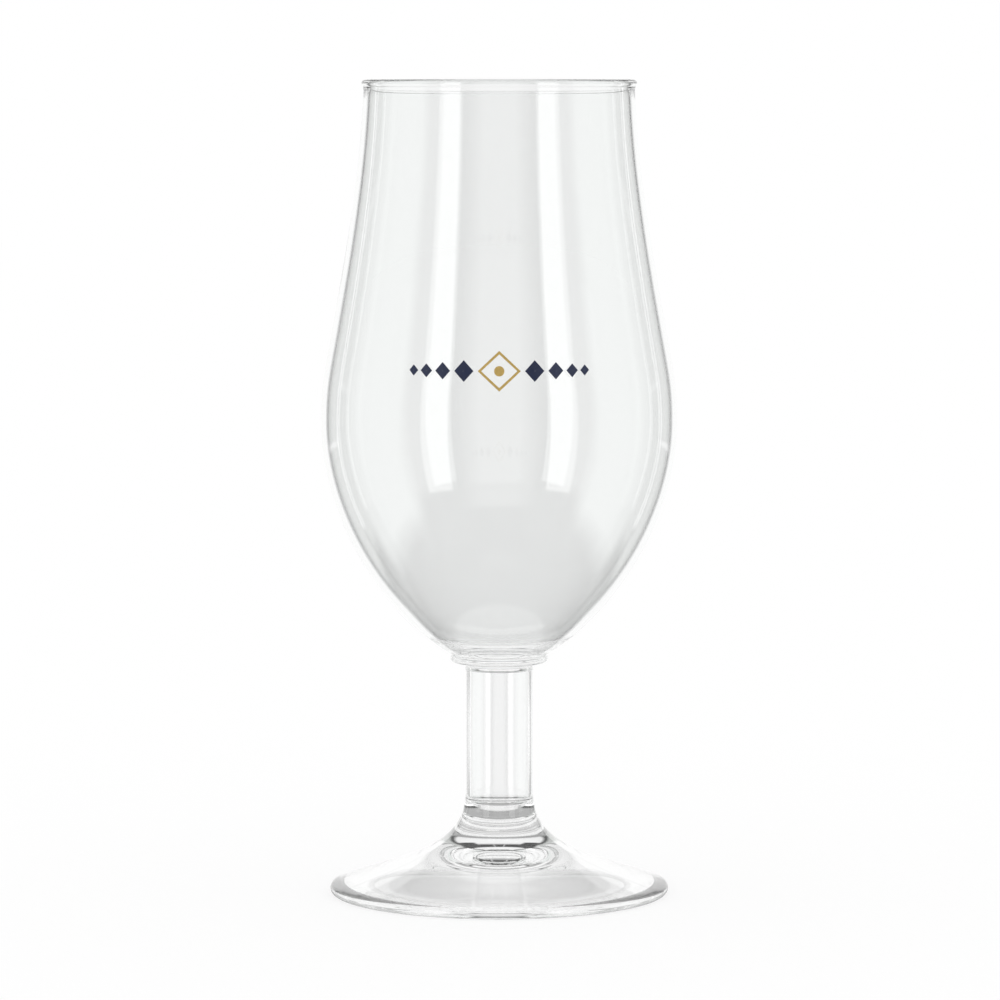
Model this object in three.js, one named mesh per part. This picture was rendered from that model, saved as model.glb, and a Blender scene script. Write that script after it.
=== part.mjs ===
// Stemmed beer glass: tulip bowl, joining collar, hollow stem and flared foot.
// Millimetres, +Z up. The origin is the centre of the ring that the glass rests on.
import * as THREE from 'three';

// Facets of the turned pieces
const TURN_STEPS = 48;
const LONG_CURVE_STEPS = 12;
const SHORT_CURVE_STEPS = 6;
const ROUND_STEPS = 6;

// Foot: a flared disc with a domed recess below and a flat ring to rest on
const FOOT_RADIUS = 37.5;
const FOOT_EDGE_ROUND = 1.2;
const FOOT_SEAT_HEIGHT = 17.7;
const FOOT_SEAT_RADIUS = 8.27;
const REST_RING_WIDTH = 2.7;
const RECESS_HEIGHT = 8;
const RECESS_RISE_ANGLE = 12;
const RECESS_RISE_REACH = 10;
const RECESS_ROOF_REACH = 14;

// Flare: one flowing line down the stem's toe and the foot, angles in degrees
const FLARE_LEAN_AT_SEAT = 19.9;
const FLARE_REACH_BELOW_SEAT = 8.74;
const FLARE_SLOPE_AT_EDGE = 18.1;
const FLARE_REACH_AT_EDGE = 14.26;

// Stem: a hollow column, blind at its lower end
const STEM_LENGTH = 33.7;
const STEM_RADIUS = 7.54;
const STEM_WALL = 1.04;
const STEM_BLIND_END = 2.16;
const BORE_CORNER_ROUND = 2;
const STEM_TOP_FILLET = 1;
const TOE_HEIGHT = 4.3;
const TOE_REACH_ABOVE = 1.59;
const TOE_REACH_AT_SEAT = 1.37;

// Collar: a round-edged wafer between bowl and stem, with a plug in the stem's bore
const COLLAR_RADIUS = 10.87;
const COLLAR_THICKNESS = 1.94;
const PLUG_DEPTH = 1.5;
const PLUG_CLEARANCE = 0.3;
const PLUG_CHAMFER = 0.4;

// Bowl: outer line from the seat up to the belly, the shoulder and the neck, angles in degrees
const BOWL_HEIGHT = 126.66;
const BOWL_WALL = 1.35;
const BOWL_FLOOR = 1;
const WELL_HEIGHT = 5;
const WELL_REACH_AT_WALL = 5;
const WELL_REACH_AT_FLOOR = 5;
const BOWL_SEAT_RADIUS = 10.87;
const BOWL_SEAT_ANGLE = 31.5;
const BOWL_SEAT_REACH = 19.5;
const BELLY_RADIUS = 39.33;
const BELLY_HEIGHT = 51.4;
const BELLY_REACH_BELOW = 19.2;
const BELLY_REACH_ABOVE = 7.9;
const SHOULDER_RADIUS = 37.23;
const SHOULDER_HEIGHT = 69.66;
const SHOULDER_LEAN = 10.5;
const SHOULDER_REACH_BELOW = 6.8;
const SHOULDER_REACH_ABOVE = 18.3;
const NECK_RADIUS = 29.79;
const NECK_DROP = 2.4;
const NECK_LEAN = 2.3;
const NECK_REACH = 18.3;
const LIP_ROUND = 0.9;
const LIP_UNDERCUT_ANGLE = 50;

// Looks of the clear pieces
const FOOT_TINT = 0xf2f5f4;
const STEM_TINT = 0xf4f6f6;
const BOWL_TINT = 0xf4f7f6;
const POLISH_ROUGHNESS = 0.03;
const CLEAR_OPACITY = 0.35;

// Heights of the seats, stacked from the table up
const STEM_TOP = FOOT_SEAT_HEIGHT + STEM_LENGTH;
const BOWL_SEAT = STEM_TOP + COLLAR_THICKNESS;
const LIP_TOP = BOWL_SEAT + BOWL_HEIGHT;
const BORE_RADIUS = STEM_RADIUS - STEM_WALL;

// A point of a section: distance from the axis, height
const point = (radius, height) => new THREE.Vector2(radius, height);

// A step of the given length from a point, at an angle above the outward direction
function reach(from, length, degrees) {
  const angle = THREE.MathUtils.degToRad(degrees);
  return point(from.x + length * Math.cos(angle), from.y + length * Math.sin(angle));
}

function arc(center, radius, fromDegrees, toDegrees) {
  const points = [];
  for (let i = 0; i <= ROUND_STEPS; i += 1) {
    points.push(reach(center, radius, THREE.MathUtils.lerp(fromDegrees, toDegrees, i / ROUND_STEPS)));
  }
  return points;
}

function flow(start, startHandle, endHandle, end, steps) {
  return new THREE.CubicBezierCurve(start, startHandle, endHandle, end).getPoints(steps);
}

// Joins stretches of a section, dropping points that repeat
function join(...stretches) {
  const tooClose = 1e-6;
  const points = [];
  for (const next of stretches.flat()) {
    const last = points.at(-1);
    if (!last || last.distanceTo(next) > tooClose) {
      points.push(next);
    }
  }
  return points;
}

// The line at a constant depth to the left of a line's direction
function inset(line, depth) {
  return line.map((here, i) => {
    const before = line[Math.max(i - 1, 0)];
    const after = line[Math.min(i + 1, line.length - 1)];
    const along = after.clone().sub(before).normalize();
    return point(here.x - depth * along.y, here.y + depth * along.x);
  });
}

// The part of a rising line that lies above a height, starting on that height
function above(line, height) {
  const first = line.findIndex((p) => p.y > height);
  const low = line[Math.max(first - 1, 0)];
  const high = line[first];
  const share = first > 0 ? (height - low.y) / (high.y - low.y) : 0;
  return [low.clone().lerp(high, share), ...line.slice(first)];
}

function clearMaterial(color) {
  return new THREE.MeshStandardMaterial({
    color,
    roughness: POLISH_ROUGHNESS,
    metalness: 0,
    transparent: true,
    opacity: CLEAR_OPACITY,
  });
}

// Turns a section, given upward along its outside, about the vertical axis
function turned(name, section, material) {
  const geometry = new THREE.LatheGeometry(section, TURN_STEPS);
  geometry.rotateX(Math.PI / 2);
  const mesh = new THREE.Mesh(geometry, material);
  mesh.name = name;
  return mesh;
}

function makeFoot() {
  const edgeCenter = point(FOOT_RADIUS - FOOT_EDGE_ROUND, FOOT_EDGE_ROUND);
  const edge = arc(edgeCenter, FOOT_EDGE_ROUND, -90, 90 - FLARE_SLOPE_AT_EDGE);
  const seatRim = point(FOOT_SEAT_RADIUS, FOOT_SEAT_HEIGHT);
  const flare = flow(
    edge.at(-1),
    reach(edge.at(-1), FLARE_REACH_AT_EDGE, 180 - FLARE_SLOPE_AT_EDGE),
    reach(seatRim, FLARE_REACH_BELOW_SEAT, FLARE_LEAN_AT_SEAT - 90),
    seatRim,
    LONG_CURVE_STEPS,
  );
  const restInner = point(edgeCenter.x - REST_RING_WIDTH, 0);
  const recess = flow(
    point(0, RECESS_HEIGHT),
    point(RECESS_ROOF_REACH, RECESS_HEIGHT),
    reach(restInner, RECESS_RISE_REACH, 180 - RECESS_RISE_ANGLE),
    restInner,
    LONG_CURVE_STEPS,
  );
  const section = join(recess, edge, flare, [point(0, FOOT_SEAT_HEIGHT)]);
  return turned('foot', section, clearMaterial(FOOT_TINT));
}

function makeStem() {
  const seatRim = point(FOOT_SEAT_RADIUS, FOOT_SEAT_HEIGHT);
  const toeTop = point(STEM_RADIUS, FOOT_SEAT_HEIGHT + TOE_HEIGHT);
  const toe = flow(
    seatRim,
    reach(seatRim, TOE_REACH_AT_SEAT, 90 + FLARE_LEAN_AT_SEAT),
    reach(toeTop, TOE_REACH_ABOVE, -90),
    toeTop,
    SHORT_CURVE_STEPS,
  );
  const filletCenter = point(STEM_RADIUS + STEM_TOP_FILLET, STEM_TOP - STEM_TOP_FILLET);
  const fillet = arc(filletCenter, STEM_TOP_FILLET, 180, 90);
  const boreFloor = FOOT_SEAT_HEIGHT + STEM_BLIND_END;
  const cornerCenter = point(BORE_RADIUS - BORE_CORNER_ROUND, boreFloor + BORE_CORNER_ROUND);
  const boreCorner = arc(cornerCenter, BORE_CORNER_ROUND, 0, -90);
  const section = join(
    [point(0, FOOT_SEAT_HEIGHT)],
    toe,
    fillet,
    [point(BORE_RADIUS, STEM_TOP)],
    boreCorner,
    [point(0, boreFloor)],
  );
  return turned('stem', section, clearMaterial(STEM_TINT));
}

function makeCollar() {
  const plugRadius = BORE_RADIUS - PLUG_CLEARANCE;
  const plugEnd = STEM_TOP - PLUG_DEPTH;
  const edgeRound = COLLAR_THICKNESS / 2;
  const edge = arc(point(COLLAR_RADIUS - edgeRound, STEM_TOP + edgeRound), edgeRound, -90, 90);
  const section = join(
    [
      point(0, plugEnd),
      point(plugRadius - PLUG_CHAMFER, plugEnd),
      point(plugRadius, plugEnd + PLUG_CHAMFER),
      point(plugRadius, STEM_TOP),
    ],
    edge,
    [point(0, BOWL_SEAT)],
  );
  return turned('collar', section, clearMaterial(STEM_TINT));
}

function makeBowl() {
  const seatRim = point(BOWL_SEAT_RADIUS, BOWL_SEAT);
  const belly = point(BELLY_RADIUS, BOWL_SEAT + BELLY_HEIGHT);
  const shoulder = point(SHOULDER_RADIUS, BOWL_SEAT + SHOULDER_HEIGHT);
  const neck = point(NECK_RADIUS, LIP_TOP - NECK_DROP);
  const cup = flow(
    seatRim,
    reach(seatRim, BOWL_SEAT_REACH, BOWL_SEAT_ANGLE),
    reach(belly, BELLY_REACH_BELOW, -90),
    belly,
    LONG_CURVE_STEPS,
  );
  const swell = flow(
    belly,
    reach(belly, BELLY_REACH_ABOVE, 90),
    reach(shoulder, SHOULDER_REACH_BELOW, SHOULDER_LEAN - 90),
    shoulder,
    SHORT_CURVE_STEPS,
  );
  const taper = flow(
    shoulder,
    reach(shoulder, SHOULDER_REACH_ABOVE, 90 + SHOULDER_LEAN),
    reach(neck, NECK_REACH, NECK_LEAN - 90),
    neck,
    SHORT_CURVE_STEPS,
  );
  const outside = join(cup, swell, taper);
  const inside = above(inset(outside, BOWL_WALL), BOWL_SEAT + WELL_HEIGHT);
  const wellRim = inside[0];
  const wellLean = THREE.MathUtils.radToDeg(inside[1].clone().sub(wellRim).angle());
  const floor = point(0, BOWL_SEAT + BOWL_FLOOR);
  const well = flow(
    wellRim,
    reach(wellRim, WELL_REACH_AT_WALL, wellLean - 180),
    point(WELL_REACH_AT_FLOOR, floor.y),
    floor,
    SHORT_CURVE_STEPS,
  );
  const lipCenter = point(NECK_RADIUS - BOWL_WALL + LIP_ROUND, LIP_TOP - LIP_ROUND);
  const lip = join(arc(lipCenter, LIP_ROUND, -LIP_UNDERCUT_ANGLE, 90), arc(lipCenter, LIP_ROUND, 90, 180));
  const section = join(
    [point(0, BOWL_SEAT)],
    outside,
    lip,
    inside.reverse(),
    well,
  );
  return turned('bowl', section, clearMaterial(BOWL_TINT));
}

const glass = new THREE.Group();
glass.add(makeFoot(), makeStem(), makeCollar(), makeBowl());

export default glass;
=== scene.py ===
# Looks of a clear stemmed beer glass: smooth turned pieces, a printed ornament and a bright studio.
import math

import bpy
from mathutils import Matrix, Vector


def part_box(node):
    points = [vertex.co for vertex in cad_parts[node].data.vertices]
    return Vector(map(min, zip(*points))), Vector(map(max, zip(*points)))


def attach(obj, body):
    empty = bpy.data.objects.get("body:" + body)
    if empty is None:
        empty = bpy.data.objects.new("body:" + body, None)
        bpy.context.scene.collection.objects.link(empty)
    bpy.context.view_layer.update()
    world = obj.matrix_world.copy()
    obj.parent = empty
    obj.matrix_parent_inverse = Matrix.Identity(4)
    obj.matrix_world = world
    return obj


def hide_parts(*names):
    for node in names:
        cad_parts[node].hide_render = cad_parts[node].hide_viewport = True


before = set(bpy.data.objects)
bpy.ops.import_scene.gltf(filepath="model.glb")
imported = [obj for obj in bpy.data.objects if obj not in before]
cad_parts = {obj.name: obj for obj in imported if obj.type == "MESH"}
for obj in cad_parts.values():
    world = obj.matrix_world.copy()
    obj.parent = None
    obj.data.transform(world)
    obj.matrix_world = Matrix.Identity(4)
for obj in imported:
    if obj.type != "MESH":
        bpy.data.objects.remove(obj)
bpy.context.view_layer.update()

MM = 0.001


# Sizes that the frame gives, in millimetres

def bottom_of(node):
    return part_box(node)[0].z / MM


def top_of(node):
    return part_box(node)[1].z / MM


def radius_of(node):
    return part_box(node)[1].x / MM


FOOT_RADIUS = radius_of("foot")
FOOT_SEAT = top_of("foot")
STEM_TOP = top_of("stem")
COLLAR_RADIUS = radius_of("collar")
PLUG_END = bottom_of("collar")
BOWL_SEAT = bottom_of("bowl")
BELLY_RADIUS = radius_of("bowl")
LIP_TOP = top_of("bowl")

# Foot, in millimetres and degrees
FOOT_EDGE_ROUND = 1.2
FOOT_SEAT_RADIUS = 8.27
REST_RING_WIDTH = 2.7
RECESS_HEIGHT = 8
RECESS_RISE_ANGLE = 12
RECESS_RISE_REACH = 10
RECESS_ROOF_REACH = 14
FLARE_LEAN_AT_SEAT = 19.9
FLARE_REACH_BELOW_SEAT = 8.74
FLARE_SLOPE_AT_EDGE = 18.1
FLARE_REACH_AT_EDGE = 14.26

# Stem and collar, in millimetres
STEM_WALL = 1.04
STEM_BLIND_END = 2.16
STEM_TOP_FILLET = 1
STEM_RADIUS = radius_of("stem") - STEM_TOP_FILLET
BORE_RADIUS = STEM_RADIUS - STEM_WALL
BORE_CORNER_ROUND = 2
TOE_HEIGHT = 4.3
TOE_REACH_ABOVE = 1.59
TOE_REACH_AT_SEAT = 1.37
PLUG_MENISCUS = 0.3
COLLAR_EDGE_ROUND = (BOWL_SEAT - STEM_TOP) / 2

# Bowl, in millimetres and degrees
BOWL_WALL = 1.35
BOWL_FLOOR = 1
WELL_HEIGHT = 5
WELL_REACH_AT_WALL = 5
WELL_REACH_AT_FLOOR = 5
BOWL_SEAT_RADIUS = 10.87
BOWL_SEAT_ANGLE = 31.5
BOWL_SEAT_REACH = 19.5
BELLY_HEIGHT = 51.4
BELLY_REACH_BELOW = 19.2
BELLY_REACH_ABOVE = 7.9
SHOULDER_RADIUS = 37.23
SHOULDER_HEIGHT = 69.66
SHOULDER_LEAN = 10.5
SHOULDER_REACH_BELOW = 6.8
SHOULDER_REACH_ABOVE = 18.3
NECK_RADIUS = 29.79
NECK_DROP = 2.4
NECK_LEAN = 2.3
NECK_REACH = 18.3
LIP_ROUND = 0.9
LIP_UNDERCUT_ANGLE = 50

# Fineness of the turned meshes
TURN_STEPS = 256
LONG_CURVE_STEPS = 64
SHORT_CURVE_STEPS = 28
ROUND_STEPS = 14
SHARP_EDGE_ANGLE = 25

# Print on the bowl's front, in millimetres: a gold lozenge between two rows of dwindling navy ones
PRINT_HEIGHT = 118.2
PRINT_GAP = 0.02
PRINT_FILM = 0.03
PRINT_STEP = 0.4
PRINT_PINHOLE = 0.04
LOZENGE_CORNERS = 4
LOZENGE_HALF_WIDTH = 4.6
LOZENGE_HALF_HEIGHT = 4.3
LOZENGE_LINE = 0.75
HEART_CORNERS = 28
HEART_RADIUS = 1.1
ROW_COUNT = 4
ROW_START = 7.6
ROW_GAP = 0.9
ROW_HALF_WIDTH = 2.1
ROW_HALF_HEIGHT = 2.3
ROW_DWINDLE = 0.8

# Glass: drawn waves, hairline scratches, and scuffs near the table, with depths and heights in metres
GLASS_IOR = 1.6
CLEAR_TINT = (0.996, 0.998, 0.997)
BOWL_TINT = (0.962, 0.968, 0.965)
WAVE_SCALE = 45.0
WAVE_DETAIL = 1.0
WAVE_STRENGTH = 0.05
WAVE_DEPTH = 0.0002
HAIRLINE_SCALE = 140.0
HAIRLINE_WIDTH = 0.012
HAIRLINE_ROUGHNESS = 0.03
SCUFF_SCALE = 900.0
SCUFF_DETAIL = 4.0
SCUFF_SPREAD = (0.45, 0.7)
SCUFF_ROUGHNESS = 0.3
SCUFF_HEIGHTS = (0.0001, 0.0006)

# Print: pigment grain and an uneven gloss, with the depth in metres
GOLD = (0.58, 0.4, 0.12)
GOLD_METALLIC = 0.3
NAVY = (0.012, 0.02, 0.06)
NAVY_METALLIC = 0.0
GRAIN_SCALE = 2600.0
GRAIN_DETAIL = 3.0
GRAIN_SPREAD = (0.35, 0.7)
GRAIN_DARK = 0.86
GRAIN_LIGHT = 1.12
GRAIN_STRENGTH = 0.15
GRAIN_DEPTH = 0.00002
GLOSS_SCALE = 700.0
GLOSS_DETAIL = 2.0
GLOSS_SPREAD = (0.3, 0.7)
GLOSS_ROUGHNESS = (0.3, 0.45)

# Studio: a white ground, and a room of soft panels that only light mirrored a few times sees
WHITE = (1, 1, 1, 1)
ROOM = (0.05, 0.05, 0.05)
MOST_MIRRORS = 4
MOST_BOUNCES = 128

# Panels, alike on the left and right, as: angles from straight behind, angles above the horizon,
# softness of the edges of both, in degrees, and colour
PANELS = {
    "back_wall": ((-90, 30), (-32, 20), (2, 2), (1.0, 1.0, 1.0)),
    "back_floor": ((-90, 16), (-95, -28), (4, 4), (0.5, 0.5, 0.5)),
    "valance": ((-90, 16), (18, 26.5), (1.5, 1.5), (1.0, 1.0, 1.0)),
    "fringe": ((-90, 16), (24, 31.5), (1, 1), (0.5, 0.5, 0.5)),
    "low_card": ((34, 54), (-8.5, -6.7), (3, 0.7), (0.95, 0.95, 0.95)),
    "ceiling": ((-90, 190), (18, 95), (4, 4), (0.08, 0.08, 0.08)),
    "overhead": ((-90, 45), (46, 66), (2, 2), (1.0, 1.0, 1.0)),
    "stand": ((3.4, 4.4), (18, 46), (0.3, 0.3), (0.6, 0.6, 0.6)),
    "kicker": ((50, 52.5), (-25, 15), (0.6, 0.6), (2.0, 2.0, 2.0)),
    "back_side": ((35, 66), (-30, 30), (2, 2), (0.55, 0.56, 0.55)),
    "side": ((62, 115), (-40, 34), (5, 5), (0.88, 0.91, 0.895)),
    "gap": ((100, 135), (-30, 28), (3, 3), (0.42, 0.42, 0.42)),
    "softbox": ((128, 146.6), (-30, 28), (0.2, 0.5), (1.35, 1.35, 1.35)),
    "front": ((158, 190), (-38, 30), (8, 1), (0.5, 0.5, 0.5)),
}

# Floor, in metres, with a painted reflection under the glass: a small plate that glows by itself,
# painted brighter towards the back as if lit from behind, and that only mirrored light sees
FLOOR_SIZE = 8.0
FLOOR_SHADOW_SHARE = 0.2
PLATE_RADIUS = 0.04
PLATE_EDGE = 0.003
PLATE_PAINTED_GLOW_FRONT = 0.05
PLATE_PAINTED_GLOW_BACK = 0.6
PLATE_FRONT_TO_BACK = (0.0, 0.03)
PLATE_PAINTED_GLOW_MIDDLE = 0.45
PLATE_MIDDLE_EDGE = (0.033, 0.035)

# Camera, fitted to the photograph, in metres, radians and millimetres of lens
CAMERA_DISTANCE = 1.101
CAMERA_HEIGHT = 0.1828824
CAMERA_TILT = 0.0865095
CAMERA_LENS = 180.109
CAMERA_SENSOR = 36
AXIS_PIXEL = 499.25
FRAME_PIXELS = 1000

# Kinds of face on a turned piece: free surface, or fused to its neighbour
SKIN = 0
FUSED = 1


# Sections: points are (distance from the axis, height), in millimetres

def step(start, length, degrees):
    angle = math.radians(degrees)
    return (start[0] + length * math.cos(angle), start[1] + length * math.sin(angle))


def arc(center, radius, start_degrees, end_degrees):
    turn = (end_degrees - start_degrees) / ROUND_STEPS
    return [step(center, radius, start_degrees + turn * i) for i in range(ROUND_STEPS + 1)]


def straight(start, end, steps):
    return [tuple(a + (b - a) * i / steps for a, b in zip(start, end)) for i in range(steps + 1)]


def flow(start, start_handle, end_handle, end, steps):
    points = []
    for i in range(steps + 1):
        t = i / steps
        weights = ((1 - t) ** 3, 3 * t * (1 - t) ** 2, 3 * t * t * (1 - t), t ** 3)
        corners = (start, start_handle, end_handle, end)
        points.append(tuple(sum(w * c[axis] for w, c in zip(weights, corners)) for axis in (0, 1)))
    return points


def join(*stretches):
    """Joins stretches of a section, dropping points that repeat."""
    too_close = 1e-6
    points = []
    for stretch in stretches:
        for point in stretch:
            if not points or math.dist(points[-1], point) > too_close:
                points.append(point)
    return points


def inset(line, depth):
    """The line at a constant depth to the left of a line's direction."""
    moved = []
    for i, here in enumerate(line):
        before = line[max(i - 1, 0)]
        after = line[min(i + 1, len(line) - 1)]
        length = math.dist(before, after)
        along = ((after[0] - before[0]) / length, (after[1] - before[1]) / length)
        moved.append((here[0] - depth * along[1], here[1] + depth * along[0]))
    return moved


def above(line, height):
    """The part of a rising line that lies above a height, starting on that height."""
    first = next(i for i, p in enumerate(line) if p[1] > height)
    low, high = line[first - 1], line[first]
    share = (height - low[1]) / (high[1] - low[1])
    return [(low[0] + share * (high[0] - low[0]), height), *line[first:]]


def foot_section():
    edge_center = (FOOT_RADIUS - FOOT_EDGE_ROUND, FOOT_EDGE_ROUND)
    edge = arc(edge_center, FOOT_EDGE_ROUND, -90, 90 - FLARE_SLOPE_AT_EDGE)
    seat_rim = (FOOT_SEAT_RADIUS, FOOT_SEAT)
    flare = flow(
        edge[-1],
        step(edge[-1], FLARE_REACH_AT_EDGE, 180 - FLARE_SLOPE_AT_EDGE),
        step(seat_rim, FLARE_REACH_BELOW_SEAT, FLARE_LEAN_AT_SEAT - 90),
        seat_rim,
        LONG_CURVE_STEPS,
    )
    rest_inner = (edge_center[0] - REST_RING_WIDTH, 0)
    recess = flow(
        (0, RECESS_HEIGHT),
        (RECESS_ROOF_REACH, RECESS_HEIGHT),
        step(rest_inner, RECESS_RISE_REACH, 180 - RECESS_RISE_ANGLE),
        rest_inner,
        LONG_CURVE_STEPS,
    )
    return [(join(recess, edge, flare), SKIN), ([seat_rim, (0, FOOT_SEAT)], FUSED)]


def stem_section():
    seat_rim = (FOOT_SEAT_RADIUS, FOOT_SEAT)
    toe_top = (STEM_RADIUS, FOOT_SEAT + TOE_HEIGHT)
    toe = flow(
        seat_rim,
        step(seat_rim, TOE_REACH_AT_SEAT, 90 + FLARE_LEAN_AT_SEAT),
        step(toe_top, TOE_REACH_ABOVE, -90),
        toe_top,
        SHORT_CURVE_STEPS,
    )
    fillet_center = (STEM_RADIUS + STEM_TOP_FILLET, STEM_TOP - STEM_TOP_FILLET)
    fillet = arc(fillet_center, STEM_TOP_FILLET, 180, 90)
    bore_floor = FOOT_SEAT + STEM_BLIND_END
    corner_center = (BORE_RADIUS - BORE_CORNER_ROUND, bore_floor + BORE_CORNER_ROUND)
    corner = arc(corner_center, BORE_CORNER_ROUND, 0, -90)
    plug_rim = (BORE_RADIUS, PLUG_END - PLUG_MENISCUS)
    column = straight(toe_top, fillet[0], LONG_CURVE_STEPS)
    bore = straight(plug_rim, corner[0], LONG_CURVE_STEPS)
    return [
        ([(0, FOOT_SEAT), seat_rim], FUSED),
        (join(toe, column, fillet), SKIN),
        ([fillet[-1], (BORE_RADIUS, STEM_TOP), plug_rim], FUSED),
        (join(bore, corner, [(0, bore_floor)]), SKIN),
    ]


def collar_section():
    edge_center = (COLLAR_RADIUS - COLLAR_EDGE_ROUND, STEM_TOP + COLLAR_EDGE_ROUND)
    edge = arc(edge_center, COLLAR_EDGE_ROUND, -90, 90)
    meniscus_center = (BORE_RADIUS - PLUG_MENISCUS, PLUG_END - PLUG_MENISCUS)
    meniscus = arc(meniscus_center, PLUG_MENISCUS, 90, 0)
    stem_rim = (STEM_RADIUS + STEM_TOP_FILLET, STEM_TOP)
    return [
        (join([(0, PLUG_END)], meniscus), SKIN),
        ([meniscus[-1], (BORE_RADIUS, STEM_TOP), stem_rim], FUSED),
        (join([stem_rim], edge), SKIN),
        ([edge[-1], (0, BOWL_SEAT)], FUSED),
    ]


def bowl_outside():
    seat_rim = (BOWL_SEAT_RADIUS, BOWL_SEAT)
    belly = (BELLY_RADIUS, BOWL_SEAT + BELLY_HEIGHT)
    shoulder = (SHOULDER_RADIUS, BOWL_SEAT + SHOULDER_HEIGHT)
    neck = (NECK_RADIUS, LIP_TOP - NECK_DROP)
    cup = flow(
        seat_rim,
        step(seat_rim, BOWL_SEAT_REACH, BOWL_SEAT_ANGLE),
        step(belly, BELLY_REACH_BELOW, -90),
        belly,
        LONG_CURVE_STEPS,
    )
    swell = flow(
        belly,
        step(belly, BELLY_REACH_ABOVE, 90),
        step(shoulder, SHOULDER_REACH_BELOW, SHOULDER_LEAN - 90),
        shoulder,
        SHORT_CURVE_STEPS,
    )
    taper = flow(
        shoulder,
        step(shoulder, SHOULDER_REACH_ABOVE, 90 + SHOULDER_LEAN),
        step(neck, NECK_REACH, NECK_LEAN - 90),
        neck,
        SHORT_CURVE_STEPS,
    )
    return join(cup, swell, taper)


OUTSIDE = bowl_outside()


def bowl_section():
    floor = BOWL_SEAT + BOWL_FLOOR
    inside = above(inset(OUTSIDE, BOWL_WALL), BOWL_SEAT + WELL_HEIGHT)
    lean = math.degrees(math.atan2(inside[1][1] - inside[0][1], inside[1][0] - inside[0][0]))
    well = flow(
        inside[0],
        step(inside[0], WELL_REACH_AT_WALL, lean - 180),
        (WELL_REACH_AT_FLOOR, floor),
        (0, floor),
        SHORT_CURVE_STEPS,
    )
    lip_center = (NECK_RADIUS - BOWL_WALL + LIP_ROUND, LIP_TOP - LIP_ROUND)
    lip_outside = arc(lip_center, LIP_ROUND, -LIP_UNDERCUT_ANGLE, 90)
    lip_inside = arc(lip_center, LIP_ROUND, 90, 180)
    collar_rim = (COLLAR_RADIUS - COLLAR_EDGE_ROUND, BOWL_SEAT)
    return [
        ([(0, BOWL_SEAT), collar_rim], FUSED),
        (join([collar_rim], OUTSIDE, lip_outside, lip_inside, inside[::-1], well), SKIN),
    ]


# Meshes

def make_piece(name, points, faces, kinds, materials):
    mesh = bpy.data.meshes.new(name)
    mesh.from_pydata([[v * MM for v in point] for point in points], [], faces)
    for material in materials:
        mesh.materials.append(material)
    mesh.polygons.foreach_set("material_index", kinds)
    mesh.polygons.foreach_set("use_smooth", [True] * len(faces))
    mesh.set_sharp_from_angle(angle=math.radians(SHARP_EDGE_ANGLE))
    mesh.update()
    piece = bpy.data.objects.new(name, mesh)
    bpy.context.scene.collection.objects.link(piece)
    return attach(piece, "root")


def turned(name, section, materials):
    """Turns a section, given upward along its outside from axis to axis, about the vertical axis."""
    points, faces, kinds, rings = [], [], [], []

    def ring(radius, height):
        first = len(points)
        if radius == 0:
            points.append((0, 0, height))
            return [first] * TURN_STEPS
        for i in range(TURN_STEPS):
            angle = math.tau * i / TURN_STEPS
            points.append((radius * math.cos(angle), radius * math.sin(angle), height))
        return list(range(first, first + TURN_STEPS))

    for stretch, kind in section:
        # A stretch starts on the last ring of the one before it
        if not rings:
            rings.append(ring(*stretch[0]))
        for point in stretch[1:]:
            rings.append(ring(*point))
            lower, upper = rings[-2:]
            for k in range(TURN_STEPS):
                after = (k + 1) % TURN_STEPS
                corners = (lower[k], lower[after], upper[after], upper[k])
                faces.append(list(dict.fromkeys(corners)))
                kinds.append(kind)
    return make_piece(name, points, faces, kinds, materials)


def bowl_front(across, up, lift):
    """A point on the bowl's front: arc length from the middle, height from the print's middle, lift."""
    height = PRINT_HEIGHT + up
    above_it = next(i for i, p in enumerate(OUTSIDE) if p[1] > height)
    low, high = OUTSIDE[above_it - 1], OUTSIDE[above_it]
    radius = low[0] + (high[0] - low[0]) * (height - low[1]) / (high[1] - low[1])
    angle = across / radius
    reach = radius + PRINT_GAP + lift
    return (reach * math.sin(angle), -reach * math.cos(angle), height)


def strip_film(pairs):
    """Points and faces of a thin film round a closed strip, given by its pairs of edge points."""
    sides = ((0, 1), (1, 3), (3, 2), (2, 0))
    points = [bowl_front(*edge, lift) for pair in pairs for lift in (0, PRINT_FILM) for edge in pair]
    faces = []
    for i in range(len(pairs)):
        here = len(sides) * i
        there = len(sides) * ((i + 1) % len(pairs))
        for a, b in sides:
            faces.append((here + a, here + b, there + b, there + a))
    return points, faces


def outline(half_width, half_height):
    return lambda angle: (half_width * math.cos(angle), half_height * math.sin(angle))


def ring_film(center, outer, inner, corners):
    """A band between two like outlines round a center: round with many corners, a lozenge with four."""
    pairs = []
    for i in range(corners):
        here = math.tau * i / corners
        there = math.tau * (i + 1) / corners
        count = max(1, round(math.dist(outer(here), outer(there)) / PRINT_STEP))
        for k in range(count):
            share = k / count
            edges = []
            for line in (outer, inner):
                start, end = line(here), line(there)
                edges.append(tuple(center[j] + start[j] + (end[j] - start[j]) * share for j in (0, 1)))
            pairs.append(tuple(edges))
    return strip_film(pairs)


def solid_film(center, half_width, half_height, corners):
    """A filled outline, but for a pinhole too small to see."""
    pinhole = outline(PRINT_PINHOLE, PRINT_PINHOLE)
    return ring_film(center, outline(half_width, half_height), pinhole, corners)


def row_films(side):
    """Lozenges side by side, each smaller than the one before it."""
    films = []
    start = ROW_START - ROW_HALF_WIDTH
    size = 1.0
    for _ in range(ROW_COUNT):
        half_width = ROW_HALF_WIDTH * size
        center = (side * (start + half_width), 0)
        films.append(solid_film(center, half_width, ROW_HALF_HEIGHT * size, LOZENGE_CORNERS))
        start += 2 * half_width + ROW_GAP * size
        size *= ROW_DWINDLE
    return films


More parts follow.
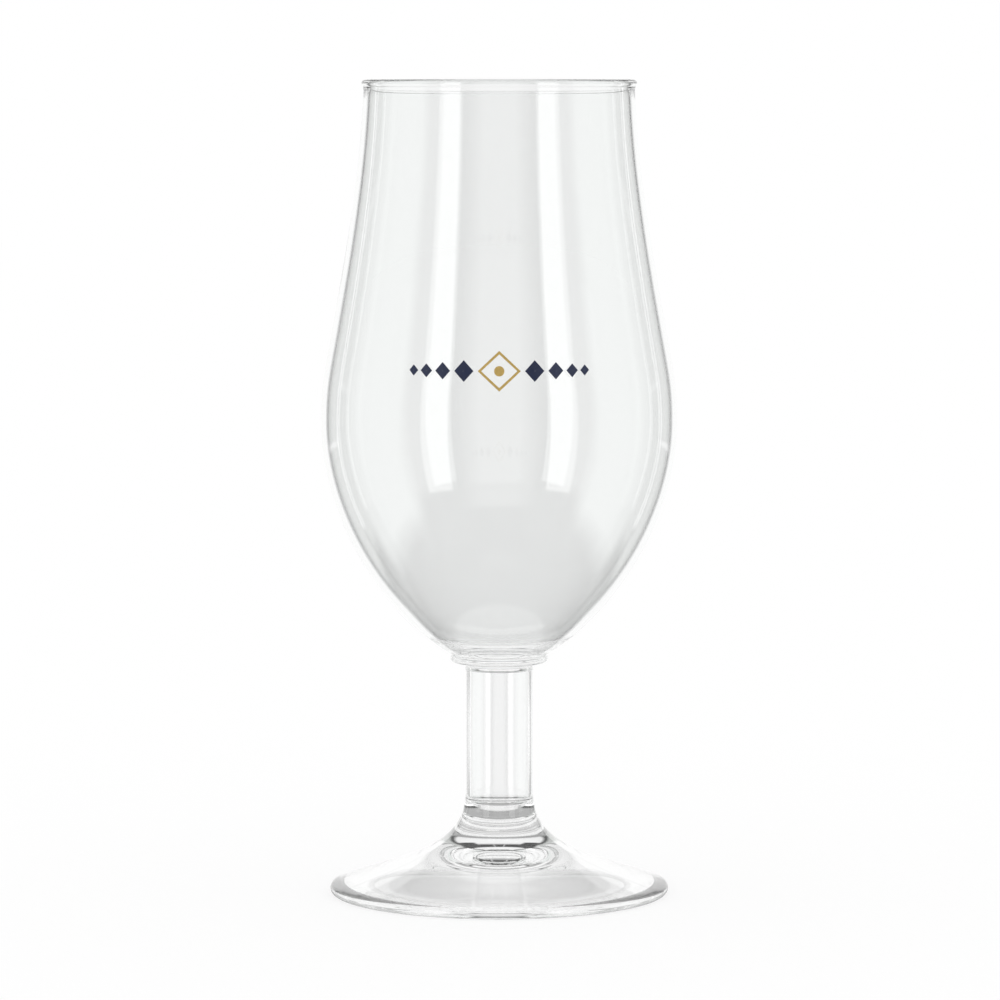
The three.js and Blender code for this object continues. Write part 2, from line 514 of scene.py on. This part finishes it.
def print_piece(name, films, material):
    points, faces = [], []
    for film_points, film_faces in films:
        first = len(points)
        points += film_points
        faces += [[first + v for v in face] for face in film_faces]
    return make_piece(name, points, faces, [0] * len(faces), [material])


# Materials and light, built from nodes

class Nodes:
    """Adds nodes to a tree, each input given as a value or as another node's output."""

    def __init__(self, owner):
        owner.use_nodes = True
        self.tree = owner.node_tree
        self.tree.nodes.clear()

    def add(self, kind, inputs=(), **settings):
        node = self.tree.nodes.new(kind)
        for key, value in settings.items():
            setattr(node, key, value)
        for key, value in dict(inputs).items():
            if isinstance(value, bpy.types.NodeSocket):
                self.tree.links.new(value, node.inputs[key])
            else:
                node.inputs[key].default_value = value
        return node

    def math(self, operation, *values):
        return self.add("ShaderNodeMath", enumerate(values), operation=operation).outputs[0]

    def vector(self, operation, *values, scale=None):
        inputs = dict(enumerate(values))
        if scale is not None:
            inputs["Scale"] = scale
        node = self.add("ShaderNodeVectorMath", inputs, operation=operation)
        return next(socket for socket in node.outputs if socket.enabled)

    def mapped(self, value, low, high, to_low=0.0, to_high=1.0):
        inputs = {"Value": value, "From Min": low, "From Max": high, "To Min": to_low, "To Max": to_high}
        return self.add("ShaderNodeMapRange", inputs).outputs[0]

    def mixed(self, share, first, second):
        inputs = {"Factor": share, "A": first, "B": second}
        return self.add("ShaderNodeMix", inputs, data_type="RGBA").outputs["Result"]

    def noise(self, place, scale, detail):
        inputs = {"Vector": place, "Scale": scale, "Detail": detail}
        return self.add("ShaderNodeTexNoise", inputs).outputs["Fac"]

    def bump(self, height, strength, depth):
        inputs = {"Height": height, "Strength": strength, "Distance": depth}
        return self.add("ShaderNodeBump", inputs).outputs["Normal"]


def fused_joint():
    """A face where two pieces are fused: light passes it as if it weren't there."""
    material = bpy.data.materials.new("fused_joint")
    nodes = Nodes(material)
    clear = nodes.add("ShaderNodeBsdfTransparent", {"Color": WHITE})
    nodes.add("ShaderNodeOutputMaterial", {"Surface": clear.outputs[0]})
    return material


def clear_glass(name, tint):
    """Polished glass: faint drawn waviness, hairline scratches and scuffs on what touches the table."""
    material = bpy.data.materials.new(name)
    nodes = Nodes(material)
    place = nodes.add("ShaderNodeTexCoord").outputs["Object"]
    height = nodes.add("ShaderNodeSeparateXYZ", {"Vector": place}).outputs["Z"]
    waves = nodes.noise(place, WAVE_SCALE, WAVE_DETAIL)
    hairlines = nodes.add(
        "ShaderNodeTexVoronoi",
        {"Vector": place, "Scale": HAIRLINE_SCALE},
        feature="DISTANCE_TO_EDGE",
    )
    scratch = nodes.mapped(hairlines.outputs["Distance"], 0.0, HAIRLINE_WIDTH, HAIRLINE_ROUGHNESS, 0.0)
    near_table = nodes.mapped(height, *SCUFF_HEIGHTS, 1.0, 0.0)
    rubs = nodes.noise(place, SCUFF_SCALE, SCUFF_DETAIL)
    scuff = nodes.math("MULTIPLY", near_table, nodes.mapped(rubs, *SCUFF_SPREAD, 0.0, SCUFF_ROUGHNESS))
    glass = nodes.add("ShaderNodeBsdfPrincipled", {
        "Base Color": (*tint, 1),
        "Roughness": nodes.math("ADD", scratch, scuff),
        "IOR": GLASS_IOR,
        "Transmission Weight": 1.0,
        "Normal": nodes.bump(waves, WAVE_STRENGTH, WAVE_DEPTH),
    })
    nodes.add("ShaderNodeOutputMaterial", {"Surface": glass.outputs[0]})
    return material


def enamel(name, color, metallic):
    """Fired print: pigment grain in darker and lighter tones, and a slightly uneven gloss."""
    material = bpy.data.materials.new(name)
    nodes = Nodes(material)
    place = nodes.add("ShaderNodeTexCoord").outputs["Object"]
    grain = nodes.noise(place, GRAIN_SCALE, GRAIN_DETAIL)
    dark = (*(GRAIN_DARK * v for v in color), 1)
    light = (*(GRAIN_LIGHT * v for v in color), 1)
    gloss = nodes.noise(place, GLOSS_SCALE, GLOSS_DETAIL)
    paint = nodes.add("ShaderNodeBsdfPrincipled", {
        "Base Color": nodes.mixed(nodes.mapped(grain, *GRAIN_SPREAD), dark, light),
        "Roughness": nodes.mapped(gloss, *GLOSS_SPREAD, *GLOSS_ROUGHNESS),
        "Metallic": metallic,
        "Normal": nodes.bump(grain, GRAIN_STRENGTH, GRAIN_DEPTH),
    })
    nodes.add("ShaderNodeOutputMaterial", {"Surface": paint.outputs[0]})
    return material


def mirrored_light(nodes):
    """1 for light mirrored a few times, 0 for light not mirrored or mirrored more often than that."""
    mirrors = nodes.add("ShaderNodeLightPath").outputs["Glossy Depth"]
    return nodes.math("COMPARE", mirrors, (1 + MOST_MIRRORS) / 2, MOST_MIRRORS / 2)


def band(nodes, angle, span, softness):
    """1 where an angle is inside a span, in degrees, with soft ends."""
    low, high = (math.radians(v) for v in span)
    soft = math.radians(softness)
    rise = nodes.mapped(angle, low - soft, low + soft)
    fall = nodes.mapped(angle, high - soft, high + soft, 1.0, 0.0)
    return nodes.math("MULTIPLY", rise, fall)


def make_world():
    world = bpy.data.worlds.new("studio")
    bpy.context.scene.world = world
    nodes = Nodes(world)
    direction = nodes.add("ShaderNodeTexCoord").outputs["Generated"]
    x, y, z = nodes.add("ShaderNodeSeparateXYZ", {"Vector": direction}).outputs
    from_behind = nodes.math("ABSOLUTE", nodes.math("ARCTAN2", x, y))
    elevation = nodes.math("ARCSINE", z)
    studio = ROOM
    for span, rise, (span_softness, rise_softness), color in PANELS.values():
        shape = nodes.math(
            "MULTIPLY",
            band(nodes, from_behind, span, span_softness),
            band(nodes, elevation, rise, rise_softness),
        )
        light = nodes.vector("SCALE", color, scale=shape)
        studio = nodes.vector("MAXIMUM", light, studio)
    seen = nodes.mixed(mirrored_light(nodes), WHITE, studio)
    sky = nodes.add("ShaderNodeBackground", {"Color": seen, "Strength": 1.0})
    nodes.add("ShaderNodeOutputWorld", {"Surface": sky.outputs[0]})


def floor_material():
    material = bpy.data.materials.new("floor")
    nodes = Nodes(material)
    glow = nodes.add("ShaderNodeEmission", {"Color": WHITE, "Strength": 1 - FLOOR_SHADOW_SHARE})
    paint = nodes.add("ShaderNodeBsdfDiffuse", {"Color": (*[FLOOR_SHADOW_SHARE] * 3, 1)})
    ground = nodes.add("ShaderNodeAddShader", {0: glow.outputs[0], 1: paint.outputs[0]})
    place = nodes.add("ShaderNodeTexCoord").outputs["Object"]
    behind = nodes.add("ShaderNodeSeparateXYZ", {"Vector": place}).outputs["Y"]
    distance = nodes.vector("LENGTH", place)
    # Painted reflection: the plate glows by itself, with painted light brighter towards the back and in
    # its middle, and only mirrored light sees it
    painted_middle_glow = nodes.mapped(distance, *PLATE_MIDDLE_EDGE, PLATE_PAINTED_GLOW_MIDDLE, 0.0)
    painted_backlight_slope = nodes.mapped(behind, *PLATE_FRONT_TO_BACK, PLATE_PAINTED_GLOW_FRONT, PLATE_PAINTED_GLOW_BACK)
    painted_plate_glow = nodes.math("MAXIMUM", painted_middle_glow, painted_backlight_slope)
    painted_reflection_plate = nodes.add("ShaderNodeEmission", {"Color": WHITE, "Strength": painted_plate_glow})
    beyond = nodes.mapped(distance, PLATE_RADIUS - PLATE_EDGE, PLATE_RADIUS + PLATE_EDGE)
    room = nodes.add("ShaderNodeBsdfTransparent", {"Color": WHITE})
    mirrored = nodes.add("ShaderNodeMixShader", {0: beyond, 1: painted_reflection_plate.outputs[0], 2: room.outputs[0]})
    both = nodes.add("ShaderNodeMixShader", {
        0: mirrored_light(nodes),
        1: ground.outputs[0],
        2: mirrored.outputs[0],
    })
    nodes.add("ShaderNodeOutputMaterial", {"Surface": both.outputs[0]})
    return material


def make_floor():
    half = FLOOR_SIZE / 2
    corners = [(-half, -half, 0), (half, -half, 0), (half, half, 0), (-half, half, 0)]
    mesh = bpy.data.meshes.new("floor")
    mesh.from_pydata(corners, [], [(0, 1, 2, 3)])
    mesh.materials.append(floor_material())
    floor = bpy.data.objects.new("floor", mesh)
    bpy.context.scene.collection.objects.link(floor)


def make_camera():
    lens = bpy.data.cameras.new("camera")
    lens.sensor_width = CAMERA_SENSOR
    lens.lens = CAMERA_LENS
    lens.shift_x = (FRAME_PIXELS / 2 - AXIS_PIXEL) / FRAME_PIXELS
    camera = bpy.data.objects.new("camera", lens)
    camera.location = (0, -CAMERA_DISTANCE, CAMERA_HEIGHT)
    camera.rotation_euler = (math.pi / 2 - CAMERA_TILT, 0, 0)
    bpy.context.scene.collection.objects.link(camera)
    bpy.context.scene.camera = camera


# The glass

joint = fused_joint()
for node, section, tint in (
    ("foot", foot_section(), CLEAR_TINT),
    ("stem", stem_section(), CLEAR_TINT),
    ("collar", collar_section(), CLEAR_TINT),
    ("bowl", bowl_section(), BOWL_TINT),
):
    glass_slot = f"{node}_glass"
    glass_piece = turned(f"{node}_clear", section, [clear_glass(glass_slot, tint), joint])
    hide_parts(node)

# The print

lozenge = ring_film(
    (0, 0),
    outline(LOZENGE_HALF_WIDTH, LOZENGE_HALF_HEIGHT),
    outline(LOZENGE_HALF_WIDTH - LOZENGE_LINE, LOZENGE_HALF_HEIGHT - LOZENGE_LINE),
    LOZENGE_CORNERS,
)
heart = solid_film((0, 0), HEART_RADIUS, HEART_RADIUS, HEART_CORNERS)
gold = print_piece("print_lozenge", [lozenge, heart], enamel("gold_print", GOLD, GOLD_METALLIC))
rows = row_films(-1) + row_films(1)
navy = print_piece("print_rows", rows, enamel("navy_print", NAVY, NAVY_METALLIC))

# The studio

make_world()
make_floor()
make_camera()
scene = bpy.context.scene
scene.view_settings.view_transform = "Standard"
scene.cycles.max_bounces = MOST_BOUNCES
scene.cycles.transmission_bounces = MOST_BOUNCES
scene.cycles.glossy_bounces = MOST_BOUNCES
scene.cycles.transparent_max_bounces = MOST_BOUNCES
